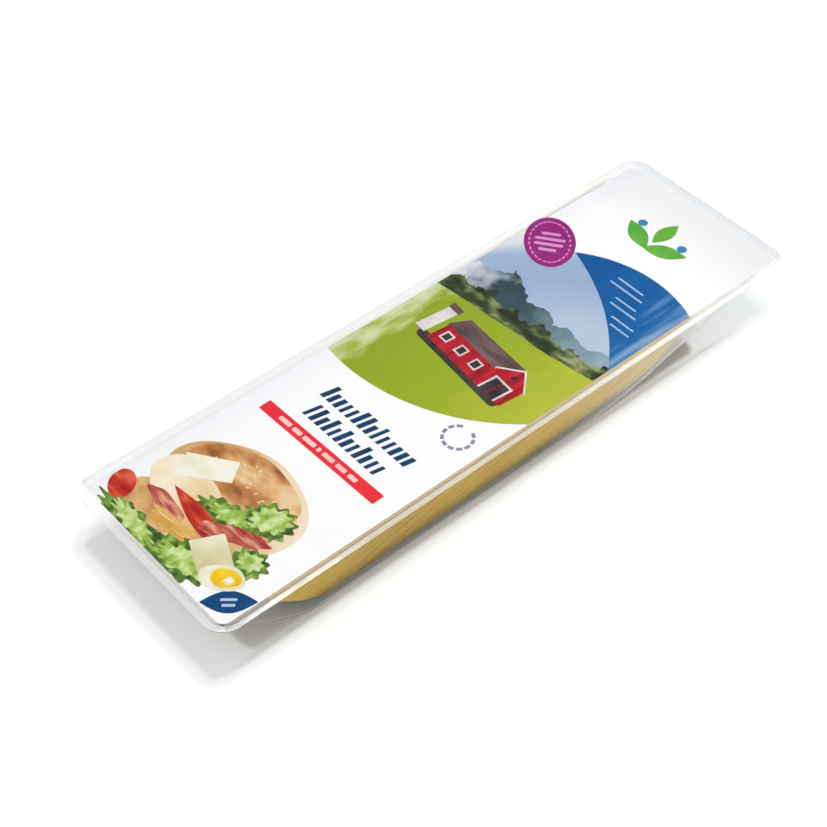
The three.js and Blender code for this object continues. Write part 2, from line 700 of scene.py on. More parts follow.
def finish_piece(piece: bpy.types.Object, name: str, material: bpy.types.Material) -> None:
    """Name a piece, give it its material and slot, and let it ride on the pack.

    Args:
        piece: The object.
        name: Its name.
        material: Its material.
    """
    piece.name = name
    piece.data.name = name
    piece.data.materials.clear()
    piece.data.materials.append(material)
    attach(piece, "root")
    LOG.info("%s: %d faces", name, len(piece.data.polygons))


def tube_of_rings(rings: Sequence[Sequence[Vector]], capped: bool) -> bpy.types.Object:
    """Model a wall from a cylinder whose rings are laid on given ones, lowest first.

    Args:
        rings: Equal rings of points, counterclockwise seen from above.
        capped: True to close both ends.

    Returns:
        The object, its faces pointing out.
    """
    around = len(rings[0])
    last = len(rings) - 1
    clear_selection()
    bpy.ops.mesh.primitive_cylinder_add(vertices=around, radius=1.0, depth=last, location=(0, 0, last / 2),
                                        end_fill_type="NGON" if capped else "NOTHING")
    piece = bpy.context.object
    bpy.ops.object.transform_apply(location=True, rotation=True, scale=True)
    cut_lines(piece, 2, range(1, last))
    for vertex in piece.data.vertices:
        x, y, z = vertex.co
        step = round(math.atan2(y, x) / (2 * math.pi) * around) % around
        vertex.co = rings[round(z)][step]
    return piece


@dataclass(frozen=True)
class Ring:
    """A rectangle with rounded corners, in millimetres, that one level of a formed shape follows."""

    left: float
    right: float
    half: float
    left_corner: float
    right_corner: float
    height: float

    def points(self, long_steps: int, short_steps: int, corner_steps: int) -> list[Vector]:
        """Points round the ring, from the middle of its right end, in metres.

        Args:
            long_steps: Steps along each long side, an even number.
            short_steps: Steps along each short side, an even number.
            corner_steps: Steps in each corner.

        Returns:
            The points.
        """
        right = (self.right - self.right_corner, self.half - self.right_corner, self.right_corner)
        left = (self.left + self.left_corner, self.half - self.left_corner, self.left_corner)
        corners = ((1, right), (1, left), (-1, left), (-1, right))
        arcs = [circle_part((x, side * y), radius, 90 * turn, 90 * turn + 90, corner_steps)
                for turn, (side, (x, y, radius)) in enumerate(corners)]
        points: Outline = []
        for arc, after, steps in zip(arcs, arcs[1:] + arcs[:1], (long_steps, short_steps) * 2):
            points += arc
            points += [between(arc[-1], after[0], step / steps) for step in range(1, steps)]
        back = short_steps // 2
        points = points[-back:] + points[:-back]
        return [Vector((x * MM, y * MM, self.height * MM)) for x, y in points]


@dataclass(frozen=True)
class CupShape:
    """The tray's cup, measured on its outer face, in millimetres."""

    length: float
    width: float
    mouth: float
    start_left: float = 3.0
    start_right: float = 10.0
    start_side: float = 2.9
    side_draft: float = 0.5
    run_left: float = 47.0
    run_right: float = 106.0
    curve_left: float = 2.0
    curve_right: float = 1.85
    corners_left: Point = (7.0, 14.0)
    corners_right: Point = (12.0, 24.0)
    floor_edge: float = 3.0

    def level(self, z: float, inward: float = 0.0) -> Ring:
        """The cup's ring at a height, moved in from its outer face.

        Args:
            z: Height above the floor.
            inward: How far inside the outer face.

        Returns:
            The ring.
        """
        height = max(0.0, z - inward)
        depth = 1 - height / (self.mouth - inward)
        radius = max(0.01, self.floor_edge - inward)
        edge = 0.0 if height >= radius else radius - math.sqrt(radius ** 2 - (radius - height) ** 2)
        ends = ((self.start_left, self.run_left, self.curve_left),
                (self.start_right, self.run_right, self.curve_right))
        left, right = (self.length / 2 - start - inward - run * end_run(depth, curve)
                       for start, run, curve in ends)
        corners = [top + (foot - top) * depth - inward
                   for top, foot in (self.corners_left, self.corners_right)]
        half = self.width / 2 - self.start_side - inward - self.side_draft * depth - edge
        return Ring(-left, right, half, *corners, z)


def end_run(depth: float, curve: float) -> float:
    """How far along its run an end has come at a depth: steep at the top, flat at the floor."""
    return 1 - (1 - depth) ** (1 / curve)


@dataclass(frozen=True)
class FilmSurface:
    """Height of the lid film's underside over the pack, in millimetres."""

    length: float
    width: float
    flange_top: float
    lift: float = 0.27
    lift_end: float = 4.0
    bead: float = 0.03
    bead_place: float = 3.7
    bead_width: float = 0.4
    sag: float = 0.16
    swell: float = 0.07
    crease: float = 0.035
    droop_side: float = 0.15
    droop_end: float = 0.16
    droop_reach: float = 2.0

    def droop(self, x: float, y: float) -> float:
        """How far the flange hangs below its level at a place.

        Args:
            x: Place along the pack.
            y: Place across the pack.

        Returns:
            The drop.
        """
        side = min(1.0, (self.width / 2 - abs(y)) / self.droop_reach)
        end = min(1.0, (self.length / 2 - abs(x)) / self.droop_reach)
        return self.droop_side * (1 - side) + self.droop_end * (1 - end)

    def height(self, x: float, y: float) -> float:
        """Height of the film's underside at a place.

        Args:
            x: Place along the pack.
            y: Place across the pack.

        Returns:
            The height above the floor.
        """
        inset = min(self.length / 2 - abs(x), self.width / 2 - abs(y))
        inside = min(1.0, inset / self.lift_end)
        bead = self.bead * math.exp(-((inset - self.bead_place) / self.bead_width) ** 2)
        sag = self.sag * ease(inset, 4, 26)
        swell = self.swell * math.sin(x / 19 + 0.8 * math.sin(y / 21)) * math.cos(y / 24 + x / 90)
        near_end = ease(x, 30, 80) * (1 - ease(x, 120, 150))
        crease = self.crease * near_end * math.sin(y / 2.3 + 0.5 * math.sin(x / 31))
        calm = ease(inset, 4, 12)
        level = self.flange_top + 0.03 - self.droop(x, y) + self.lift * inside
        return level + bead - sag + calm * (swell + crease)


@dataclass
class Tray:
    """The clear formed tray with its flange."""

    cup: CupShape
    surface: FilmSurface
    film: float = 0.45
    corner: float = 10.0
    bend: float = 1.0
    steps: tuple[int, int, int] = (44, 12, 8)
    wall_levels: int = 26
    bend_turns: tuple[int, ...] = (30, 60, 90)
    flange_insets: tuple[float, ...] = (1.4, 0.8, 0.15)
    floor_insets: Point = (3.0, 6.0)
    draw_in: float = 0.3
    waves: Point = (0.28, 0.14)

    def rings(self) -> list[list[Vector]]:
        """The tray's outer skin as rings, from its floor up the wall and out along the flange.

        Returns:
            The rings, lowest first.
        """
        top = self.cup.mouth - self.film
        bend = self.bend
        heights = [(top - bend) * (level / self.wall_levels) ** 2 for level in range(self.wall_levels + 1)]
        levels = [self.cup.level(height) for height in heights]
        for turn in self.bend_turns:
            angle = math.radians(turn)
            ring = self.cup.level(top - bend + bend * math.sin(angle))
            out = bend * (1 - math.cos(angle))
            levels.append(Ring(ring.left - 0.5 * out, ring.right + out, ring.half + out,
                               ring.left_corner + out, ring.right_corner + out, ring.height))
        for inset in self.flange_insets:
            half_length = self.cup.length / 2 - inset
            half_width = self.cup.width / 2 - inset
            corner = self.corner - inset
            levels.append(Ring(-half_length, half_length, half_width, corner, corner, top))
        return [ring.points(*self.steps) for ring in levels]

    def build(self) -> bpy.types.Object:
        """Model the tray and dress it.

        Returns:
            The tray.
        """
        piece = tube_of_rings(self.rings(), capped=True)
        self.open_top(piece)
        self.ease_walls(piece)
        add_modifier(piece, "SOLIDIFY", thickness=self.film * MM, offset=-1.0, use_even_offset=True)
        smooth(piece, 50)
        plastic = ClearPlastic(
            "clear_tray_plastic", bend=1.13,
            # Painted shade: the first tone darkens the plastic towards its foot, where the tray meets the
            # floor.
            tones=(("Z", 1.0, 3.5, (0.96, 0.95, 0.94)), ("X", 118.0, 96.0, (0.99, 0.98, 0.92)),
                   # Painted reflection: the yellowish tone between 96 and 118 mm stands in for the cheese's
                   # colour mirrored in the right end's wall.
                   ("X", 146.0, 134.0, (1.01, 1.02, 1.09))),
            veils=(("Z", 25.9, 26.4, 0.05), ("X", 10.0, 110.0, 0.24)))
        finish_piece(piece, "clear_tray", plastic.make())
        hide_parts("tray")
        return piece

    def open_top(self, piece: bpy.types.Object) -> None:
        """Delete the cap that closes the tray's mouth and inset the floor.

        Args:
            piece: The capped wall.
        """
        pick(piece)
        bpy.ops.object.mode_set(mode="EDIT")
        bpy.ops.mesh.select_all(action="DESELECT")
        work = bmesh.from_edit_mesh(piece.data)
        for face in work.faces:
            face.select = len(face.verts) > 4 and face.normal.z > 0.5
        bmesh.update_edit_mesh(piece.data)
        bpy.ops.mesh.delete(type="FACE")
        for face in work.faces:
            face.select = len(face.verts) > 4
        bmesh.update_edit_mesh(piece.data)
        for inset in self.floor_insets:
            bpy.ops.mesh.inset(thickness=inset * MM)
        bpy.ops.object.mode_set(mode="OBJECT")

    def ease_walls(self, piece: bpy.types.Object) -> None:
        """Let the walls wander a little, as thin formed film does between its floor and its flange.

        Args:
            piece: The tray's skin.
        """
        for vertex in piece.data.vertices:
            x, y, z = (value / MM for value in vertex.co)
            middle = ease(z, 1.0, 9.0) * (1 - ease(z, 18.0, 25.5))
            wide = self.waves[0] * math.sin(x / 13 + 0.6 * math.sin(z / 5))
            narrow = self.waves[1] * math.sin(x / 4.7 + z / 6)
            if abs(y) > 0.8 * self.cup.level(z).half:
                vertex.co.y -= math.copysign(middle * (self.draw_in + wide + narrow) * MM, y)
            if z > self.cup.mouth - 1.2:
                vertex.co.z -= self.surface.droop(x, y) * MM


@dataclass
class CheeseStack:
    """The shingled row of slices."""

    cup: CupShape
    first_top: float
    floor: float = 1.0
    top: float = 26.4
    side: float = 6.5
    start_left: float = 22.0
    start_right: float = 49.0
    run_left: float = 32.0
    run_right: float = 60.0
    curve_left: float = 1.7
    curve_right: float = 2.5
    corner: float = 6.0
    tilt: float = 13.0
    pitch: float = 2.9
    thickness: float = 2.82
    clearance: float = 1.3
    edge: float = 0.25
    levels: int = 12
    steps: tuple[int, int, int] = (30, 8, 6)
    seed: int = 41

    def block_level(self, z: float) -> Ring:
        """The whole row's ring at a height, kept clear of the tray.

        Args:
            z: Height above the floor.

        Returns:
            The ring.
        """
        depth = 1 - (z - self.floor) / (self.top - self.floor)
        room = self.cup.level(z, self.clearance)
        left = -self.cup.length / 2 + self.start_left + self.run_left * end_run(depth, self.curve_left)
        right = self.cup.length / 2 - self.start_right - self.run_right * end_run(depth, self.curve_right)
        half = self.cup.width / 2 - self.side - 0.6 * ease(depth, 0.75, 1.0)
        return Ring(max(left, room.left), min(right, room.right), min(half, room.half), self.corner,
                    self.corner, z)

    def block(self) -> bpy.types.Object:
        """Model the whole row as one closed shape.

        Returns:
            The shape.
        """
        rise = self.top - self.floor
        heights = [self.floor + rise * (level / self.levels) ** 2 for level in range(self.levels + 1)]
        rings = [self.block_level(height).points(*self.steps) for height in heights]
        return tube_of_rings(rings, capped=True)

    def build(self) -> None:
        """Cut the row into slices, each laid a little askew, and dress them."""
        draw = random.Random(self.seed)
        block = self.block()
        material = Cheese("cheese_gold").make()
        nodes = sorted(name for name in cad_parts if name.startswith("cheese_slice_"))
        for index, node in enumerate(nodes):
            pick(block)
            bpy.ops.object.duplicate()
            piece = bpy.context.object
            self.lay_askew(piece, draw)
            self.cut_slab(piece, index)
            add_modifier(piece, "BEVEL", width=self.edge * MM, segments=2, limit_method="ANGLE",
                         angle_limit=math.radians(50))
            smooth(piece, 40)
            finish_piece(piece, node.replace("cheese_slice", "slice"), material)
            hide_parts(node)
        bpy.data.objects.remove(block)

    def lay_askew(self, piece: bpy.types.Object, draw: random.Random) -> None:
        """Shift and swell a slice's outline a little.

        Args:
            piece: A copy of the row.
            draw: The random draws.
        """
        shift = draw.uniform(-0.12, 0.12) * MM
        swell = draw.uniform(0.998, 1.001)
        phase = draw.uniform(0, 6)
        for vertex in piece.data.vertices:
            vertex.co.y = vertex.co.y * swell + shift
            vertex.co.y += 0.08 * MM * math.sin(vertex.co.x / MM / 9 + phase)

    def cut_slab(self, piece: bpy.types.Object, index: int) -> None:
        """Cut one slanting slab out of a copy of the row.

        Args:
            piece: A copy of the row.
            index: The slab's number from the left.
        """
        tilt = math.radians(self.tilt)
        normal = Vector((math.sin(tilt), 0, -math.cos(tilt)))
        upper = Vector(((self.first_top + index * self.pitch / math.sin(tilt)) * MM, 0, self.top * MM))
        lower = upper - normal * self.thickness * MM
        pick(piece)
        bpy.ops.object.mode_set(mode="EDIT")
        for place_at, facing in ((upper, normal), (lower, -normal)):
            bpy.ops.mesh.select_all(action="SELECT")
            bpy.ops.mesh.bisect(plane_co=place_at, plane_no=facing, use_fill=True, clear_outer=True)
        bpy.ops.object.mode_set(mode="OBJECT")


@dataclass
class Lid:
    """The clear film over the flange and, under it, the print in thin layers."""

    surface: FilmSurface
    film: float = 0.12
    corner: float = 10.0
    ink_depth: float = 0.22
    ink_step: float = 0.02
    ink_thickness: float = 0.016
    ink_line: float = 4.6
    film_lines: tuple[float, ...] = (*(0.5 * step for step in range(1, 13)), 8.0, 10.5, 13.5)
    cell: float = 6.0

    def patch(self, outline: Sequence[Point]) -> bpy.types.Object:
        """Model one flat patch from a disc whose corners are laid on an outline.

        Args:
            outline: The outline in millimetres.

        Returns:
            The patch, face up at height 0.
        """
        clear_selection()
        bpy.ops.mesh.primitive_circle_add(vertices=len(outline), radius=1.0, fill_type="NGON")
        piece = bpy.context.object
        for vertex, (x, y) in zip(piece.data.vertices, outline):
            vertex.co = (x * MM, y * MM, 0.0)
        return piece

    def sheet(self, outlines: Sequence[Outline], thickness: float, offset: float,
              fine: Sequence[float]) -> bpy.types.Object:
        """Model patches as one thin closed sheet that follows the film.

        Args:
            outlines: The patches' outlines in millimetres.
            thickness: The sheet's thickness.
            offset: Its top's height over the film's underside.
            fine: Insets from the pack's edges where it is cut finely, so that it can follow the film.

        Returns:
            The sheet.
        """
        patches = [self.patch(outline) for outline in outlines if len(outline) > 2]
        piece = patches[0]
        pick(piece)
        for other in patches[1:]:
            other.select_set(True)
        if len(patches) > 1:
            bpy.ops.object.join()
        pick(piece)
        bpy.ops.object.mode_set(mode="EDIT")
        bpy.ops.mesh.select_all(action="SELECT")
        bpy.ops.mesh.normals_make_consistent(inside=False)
        bpy.ops.object.mode_set(mode="OBJECT")
        if sum(face.normal.z * face.area for face in piece.data.polygons) < 0:
            piece.data.flip_normals()
        spans = [[vertex.co[axis] / MM for vertex in piece.data.vertices] for axis in (0, 1)]
        for axis, half in enumerate((self.surface.length / 2, self.surface.width / 2)):
            low, high = min(spans[axis]), max(spans[axis])
            cut_lines(piece, axis, [line * MM for line in self.lines(half, fine) if low < line < high])
        add_modifier(piece, "SOLIDIFY", thickness=thickness * MM, offset=-1.0)
        for vertex in piece.data.vertices:
            x, y = vertex.co.x / MM, vertex.co.y / MM
            vertex.co.z += (self.surface.height(x, y) + offset) * MM
        smooth(piece, 40)
        return piece

    def lines(self, half: float, fine: Sequence[float]) -> list[float]:
        """Cut lines across one axis: fine near both edges and even between them.

        Args:
            half: Half the pack's size along the axis.
            fine: Insets of the fine lines.

        Returns:
            The lines.
        """
        inner = half - max(fine)
        count = math.ceil(2 * inner / self.cell)
        even = [-inner + 2 * inner * step / count for step in range(1, count)]
        edges = [sign * (half - inset) for inset in fine for sign in (-1, 1)]
        return sorted(even + edges)

    def build_film(self) -> None:
        """Model the clear film and dress it."""
        half_length, half_width = self.surface.length / 2, self.surface.width / 2
        outline = rounded_box(-half_length, half_length, -half_width, half_width, self.corner, 12)
        piece = self.sheet([outline], self.film, self.film, self.film_lines)
        plastic = ClearPlastic(
            "lid_film_plastic", tint=(0.95, 0.95, 0.95), gloss=(0.03, 0.08), ripple=0.000012,
            # Painted shade: the two X tones grey what lies under the film towards the right end and along its
            # right rim.
            tones=(("X", 148.0, 120.0, (0.9, 0.9, 0.905)), ("X", 155.5, 154.0, (0.94, 0.94, 0.945)),
                   ("Y", 43.6, 42.6, (1.04, 1.04, 1.05))),
            veils=(("Y", -43.8, -44.1, 0.08), ("X", -154.9, -155.3, 0.13)))
        finish_piece(piece, "lid_film_clear", plastic.make())
        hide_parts("lid_film")

    def print_field(self, name: str, outlines: Sequence[Outline], level: float, finish: Ink) -> None:
        """Print patches of one ink.

        Args:
            name: The piece's name.
            outlines: Their outlines in millimetres.
            level: How many inks lie under them.
            finish: The ink.
        """
        offset = self.ink_step * level - self.ink_depth
        piece = self.sheet(outlines, self.ink_thickness, offset, (self.ink_line,))
        finish_piece(piece, name, finish.make())
        if not finish.passing:
            piece.visible_shadow = False
            piece.visible_diffuse = False


@dataclass
class LidPrint:
    """The lid's print: a white ground with plain pictures and shapes. In print, up is the pack's +X."""

    lid: Lid
    left: float = -155.2
    right: float = 154.0
    low: float = -43.9
    high: float = 42.6
    corner: float = 4.0

    def field(self, piece: str, outlines: Sequence[Outline], level: float, look: str, *colours: Screen,
              **how: object) -> None:
        """Print patches of one ink.

        Args:
            piece: The piece's name without the word print.
            outlines: Their outlines in millimetres.
            level: How many inks lie under them.
            look: The ink's name without the word ink.
            colours: The ink's colours.
            how: The ink's other settings.
        """
        self.lid.print_field(f"print_{piece}", outlines, level, Ink(f"ink_{look}", colours, **how))

    def frame_outline(self) -> Outline:
        """Outline of the printed area."""
        return rounded_box(self.left, self.right, self.low, self.high, self.corner)

    def inside(self, outlines: Sequence[Outline]) -> list[Outline]:
        """Cut outlines back to the printed area."""
        return [clip(outline, self.frame_outline()) for outline in outlines]

    def build(self) -> None:
        """Print every field, lowest first."""
        self.ground()
        self.picture()
        self.barn()
        self.roll()
        self.title()
        self.badge()
        self.small_marks()

    def ground(self) -> None:
        """Print the white ground, which dims the light that falls through it and turns a little grey towards
        the far edge as painted shade.
        """
        # The run from white to pale grey towards the far edge is painted shade.
        self.field("white", [self.frame_outline()], 0, "white", (254, 254, 254), (253, 253, 254),
                   (245, 246, 250), along=(0.0, 1.0, 0.0), ends=(8, 44), grain=0.04, scale=25.0,
                   passing=((-145, 0.77), (-115, 0.5), (40, 0.57), (100, 0.9)))

    def picture_window(self) -> Outline:
        """Outline of the meadow picture: round on its left and on its right."""
        left_arc = circle_part((59.9, 29.5), 94.8, 171.5, 231.0, 16)
        right_arc = circle_part((44.9, -19.4), 58.0, -25.5, 41.0, 16)
        crown = circle_part((60.0, 17.0), 32.0, 24.0, 60.0, 5)
        return clip([*left_arc, *right_arc, *crown], self.frame_outline())

    def picture(self) -> None:
        """Print the dark field and, left of it, the sky, hills, trees and meadow."""
        whole = self.picture_window()
        sky_edge = circle_part((-30.9, 55.2), 125.8, -60.0, 12.0, 24)
        window = clip(whole, [*sky_edge, (-200.0, 90.0), (-200.0, -90.0)])
        across = (0.0, -1.0, 0.0)
        # The dark blue is print; the pale colours at the end of its run, which the grain brings out as
        # streaks close to the near edge, are painted reflections of the film's creases.
        self.field("blue_field", [whole], 1, "deep_blue", (4, 84, 152), (18, 98, 164), (84, 134, 186),
                   (150, 178, 206), places=(0.0, 0.62, 0.8, 1.0), along=across, ends=(-10, 72), grain=0.3,
                   scale=60, stretch=(0.3, 2.2, 1.0))
        # The sky is print; its palest colour, towards the far edge, is a painted glare of the film.
        self.field("sky", [window], 2, "sky", (184, 201, 221), (152, 175, 206), (156, 180, 208),
                   (226, 232, 238), places=(0.0, 0.5, 0.8, 1.0), along=(0.62, 0.78, 0.0), ends=(20, 76),
                   grain=0.08, scale=40, stretch=(0.5, 1.5, 1.0))
        hills = below([(46, 46), (54, 38), (52, 33), (61, 26), (58, 19), (50, 8), (53, 0), (48, -9),
                       (52, -16), (49, -27), (53, -35), (50, -46)], 0.2, 11)
        # The whitish start of the run, at the far edge, is a painted glare of the film over the hills.
        self.field("far_hills", [clip(hills, window)], 3, "far_hills", (216, 220, 226), (150, 160, 172),
                   (44, 66, 76), (60, 84, 90), (112, 138, 146), (150, 174, 190),
                   places=(0.0, 0.14, 0.24, 0.45, 0.7, 1.0), along=across, ends=(-43, 44), grain=0.1,
                   scale=120)
        trees = below([(37, 46), (41, 38), (39, 30), (45, 22), (41, 15), (44, 6), (40, -2), (44, -10),
                       (41, -18), (46, -26), (43, -33), (48, -40), (46, -46)], 0.34, 5)
        self.field("trees", [clip(trees, window)], 4, "trees", (24, 36, 24), (52, 66, 40), (104, 116, 70),
                   (150, 158, 112), places=(0.0, 0.45, 0.75, 1.0), grain=0.7, scale=170,
                   stretch=(1.0, 0.6, 1.0))
        meadow = below([(28, 46), (30, 30), (32, 8), (33.5, -14), (38, -46)], 0.02, 3)
        # The pale start of the run, at the far edge, is a painted glare of the film over the meadow.
        self.field("meadow", [clip(meadow, window)], 5, "meadow", (210, 217, 170), (176, 190, 100),
                   (144, 163, 38), (154, 173, 38), (180, 190, 58), places=(0.0, 0.08, 0.15, 0.6, 1.0),
                   along=across, ends=(-43, 44), grain=0.08, scale=230, stretch=(0.35, 1.0, 1.0))

    def barn(self) -> None:
        """Print a plain red barn with a grey silo on the meadow."""
        def placed(outlines: Sequence[Outline]) -> list[Outline]:
            """Outlines on the barn's spot."""
            return [place(outline, (10.5, -2.0), -6.0) for outline in outlines]

        def boxes(*edges: tuple[float, float, float, float]) -> list[Outline]:
            """Upright boxes on the barn's spot, each given by its lower, upper, far and near edge."""
            return placed([[(low, far), (low, near), (high, near), (high, far)]
                           for low, high, far, near in edges])

        gable = [(-10, -10), (-10, -28), (3, -28), (11, -19), (3, -10)]
        slope = [(2, 23), (2, -10), (3, -9.2), (11, -19), (12, -18.4), (11.5, 19)]
        trims = [[(2.4, -9.4), (3.4, -9.4), (12.2, -19), (11.0, -19)],
                 [(3.4, -28.8), (2.4, -28.8), (11.0, -19), (12.2, -19)]]
        speckle = {"grain": 0.4, "scale": 160}
        self.field("barn_shadow", placed([rounded_box(-13, -8, -27, 27, 2.4)]), 6, "barn_dark", (24, 22, 24),
                   (74, 66, 66), **speckle)
        self.field("barn_red", [*boxes((-10, 2.2, 22, -10)), *placed([gable])], 7, "barn_red", (128, 20, 30),
                   (176, 26, 40), (206, 44, 56), grain=0.5, scale=160, stretch=(0.3, 2.4, 1.0))
        self.field("barn_roof", [*placed([slope]), *boxes((8.5, 12, 31.5, 24.5))], 8, "barn_roof",
                   (66, 52, 54), (122, 98, 96), grain=0.5, scale=200, stretch=(2.0, 0.3, 1.0))
        white = boxes((-9.5, 8.5, 31, 25), (-10, 0.5, -13.5, -14.5), (-10, 0.5, -23.5, -24.5),
                      (-0.5, 0.5, -14.5, -23.5), (-6, -0.5, 19, 14), (-6, -0.5, 9, 4), (-6, -0.5, -1, -6))
        self.field("barn_white", [*white, *placed(trims)], 9, "barn_white", (198, 192, 190), (244, 242, 240),
                   **speckle)
        doors = boxes((-10, -0.5, -14.5, -18.6), (-10, -0.5, -19.4, -23.5), (-5.2, -1.3, 18.2, 14.8),
                      (-5.2, -1.3, 8.2, 4.8), (-5.2, -1.3, -1.8, -5.2), (4, 6.4, -18, -20))
        self.field("barn_doors", doors, 10, "barn_dark", (24, 22, 24), (74, 66, 66), **speckle)

    def roll(self) -> None:
        """Print a filled roll: crust, salad leaves, tomato, ham and cheese, in plain shapes."""
        def printed(piece: str, outlines: Sequence[Outline], *rest: object, **how: object) -> None:
            """Print the part of some outlines that lies inside the printed area."""
            self.field(piece, self.inside(outlines), *rest, **how)

        printed("roll_base", [frilly((-138, 7), (14.5, 29), 6, 7, 0.04, 23)], 1, "roll_base", (176, 124, 74),
                (214, 170, 112), (240, 214, 166), grain=0.55, scale=90)
        printed("roll_shade", [frilly((-115, 3), (25, 34), 6, 5, 0.02, 3)], 2, "roll_shade", (206, 164, 112),
                (228, 196, 148), (246, 232, 204), along=(0.5, -0.5, 0.0), ends=(-64, -34), grain=0.2,
                scale=60)
        printed("roll_crust", [frilly((-111.5, 5), (19.5, 29), 8, 6, 0.03, 8)], 3, "roll_crust",
                (146, 90, 48), (194, 134, 78), (220, 168, 110), (236, 206, 160),
                places=(0.0, 0.35, 0.6, 1.0), grain=0.65, scale=75, stretch=(1.4, 0.7, 1.0))
        printed("roll_crumb", [frilly((-127, 17), (12.5, 21), -14, 5, 0.05, 5)], 4, "roll_crumb",
                (222, 184, 122), (240, 220, 176), (248, 240, 222), places=(0.0, 0.6, 1.0),
                along=(0.3, 0.9, 0.0), ends=(-46, -6), grain=0.3, scale=70)
        leaves = [frilly(*leaf) for leaf in (
            ((-148, -8), (8.5, 19), 14, 15, 0.17, 2), ((-152, 20), (6, 18), -4, 15, 0.2, 9),
            ((-112, -16), (9, 11), 34, 13, 0.17, 4), ((-122, -2), (6, 13), 14, 13, 0.18, 12),
            ((-130, -27), (7, 8), 20, 11, 0.18, 14))]
        printed("leaves_dark", leaves, 5, "leaf_dark", (48, 78, 30), (92, 128, 48), (150, 182, 84),
                grain=0.65, scale=260)
        bright = [frilly(*leaf) for leaf in (
            ((-147, -11), (5.2, 14), 16, 13, 0.24, 7), ((-151, 18), (3.4, 13), -6, 13, 0.26, 6),
            ((-110.5, -16), (6, 8), 34, 11, 0.2, 1), ((-121, -4), (3.4, 9), 14, 11, 0.24, 16),
            ((-129, -27), (4, 5), 20, 9, 0.22, 18))]
        printed("leaves_bright", bright, 6, "leaf_bright", (128, 164, 60), (166, 198, 94), (216, 230, 168),
                grain=0.65, scale=240)
        tomato = [ellipse((-143, 36.5), (7.5, 5.5), 40), pointed_lens((-131, 0), (23, 4.2), 82)]
        printed("tomato", tomato, 7, "tomato", (160, 30, 22), (200, 56, 38), (230, 112, 84), grain=0.6,
                scale=130, stretch=(1.6, 0.6, 1.0))
        ham = [frilly((-125.5, -13), (4.2, 15), 28, 7, 0.12, 21),
               frilly((-136, 17), (3.4, 12), -4, 5, 0.1, 22)]
        printed("ham", ham, 8, "ham", (150, 44, 46), (196, 100, 84), (234, 180, 150), grain=0.6, scale=180,
                stretch=(2.2, 0.5, 1.0))
        strips = [place(rounded_box(-0.9, 0.9, -12 + 1.2 * row, 10, 0.8, 3), (-138.5 - 2.3 * row, 9 - row), 7)
                  for row in range(3)]
        printed("cheese_edges", strips, 9, "cheese_edge", (206, 150, 60), (240, 200, 112), grain=0.4,
                scale=120, stretch=(2.0, 0.4, 1.0))
        slices = [place([(-7, -12), (7, -10), (8, 9), (-6, 10)], (-138.5, -15), -22),
                  place([(-6, -11), (5, -12), (7, 10), (-5, 11)], (-113, 21), 40)]
        printed("cheese_slices", slices, 9, "cheese", (208, 196, 150), (230, 224, 184), (246, 244, 226),
                along=(0.8, 0.6, 0.0), ends=(-130, -96), grain=0.3, scale=90)
        printed("egg", [frilly((-141.5, -26), (6.2, 9.2), 34, 4, 0.05, 30)], 10, "egg_white", (220, 218, 176),
                (250, 248, 232), grain=0.4, scale=110)
        printed("yolk", [frilly((-140.6, -27), (4.4, 6.2), 34, 3, 0.06, 31)], 10.5, "yolk", (232, 160, 4),
                (243, 193, 8), (250, 214, 60), grain=0.5, scale=120)
        draw = random.Random(6)
        seeds = [pointed_lens((-111.5 + 15 * math.cos(angle) * out, 5 + 23 * math.sin(angle) * out),
                              (1.0, 0.42), draw.uniform(0, 180), 5)
                 for angle, out in ((draw.uniform(-1.2, 2.3), draw.uniform(0.3, 0.95)) for _ in range(26))]
        printed("seeds", seeds, 4, "seed", (226, 192, 140), (248, 228, 190), scale=200)

    def title(self) -> None:
        """Print two rows of slanting navy strokes and the red strip under them."""
        draw = random.Random(17)
        strokes = []
        for row, start, stop in ((-50.5, 24.0, -29.5), (-62.5, 21.0, -25.0)):
            steps = round((start - stop) / 3.9)
            for step in range(steps):
                middle = start + (stop - start) * (step + 0.5) / steps
                rise = draw.choice((3.0, 3.0, 3.0, 5.6))
                wide = draw.choice((0.95, 1.25, 1.25))
                foot, head = middle + 0.6, middle - 0.2 * rise
                strokes.append([(row - 3.2, foot + wide), (row - 3.2, foot - wide), (row + rise, head - wide),
                                (row + rise, head + wide)])
        self.field("navy_strokes", strokes, 1, "navy", (4, 46, 82), (14, 64, 104), scale=90)
        strip = place([(-3.1, -34.6), (3.1, -34.6), (3.1, 34.6), (-3.1, 34.6)], (-73.3, -0.4), 1.5)
        self.field("red_strip", [strip], 1, "red", (226, 38, 50), (240, 56, 66), scale=60)
        dashes = [place(rounded_box(-1.1, 1.1, y - half, y + half, 0.5, 3), (-73.3, 0), 1.5)
                  for y, half in ((21, 3.4), (13.6, 2.6), (6.2, 3.6), (0.4, 0.9), (-5.4, 3.2), (-13, 2.8),
                                  (-19.8, 2.4))]
        self.field("strip_dashes", dashes, 2, "strip_pale", (246, 190, 190), (250, 214, 212), scale=90)

    def badge(self) -> None:
        """Print the magenta badge with a pale rim of dashes and four pale bars."""
        spot = (85.4, 30.0)
        self.field("badge", [ellipse(spot, (16.8, 11.8), 45, 64)], 6, "magenta", (138, 26, 112),
                   (158, 44, 132), scale=80)
        dash = [(-0.9, -0.35), (0.9, -0.35), (0.9, 0.35), (-0.9, 0.35)]
        corners = ellipse(spot, (13.6, 9.3), 45, 26)
        rim = []
        for before, here, after in zip(corners[-1:] + corners, corners, corners[1:] + corners[:1]):
            turn = math.degrees(math.atan2(after[1] - before[1], after[0] - before[0]))
            rim.append(place(dash, here, turn))
        bars = [bar(spot, -52, offset, long, 0.9, 0.8)
                for offset, long in ((-5.4, 9.0), (-1.8, 14.0), (1.8, 14.0), (5.4, 9.0))]
        self.field("badge_bars", bars + rim, 7, "pink", (214, 140, 200), (228, 164, 214), scale=80)

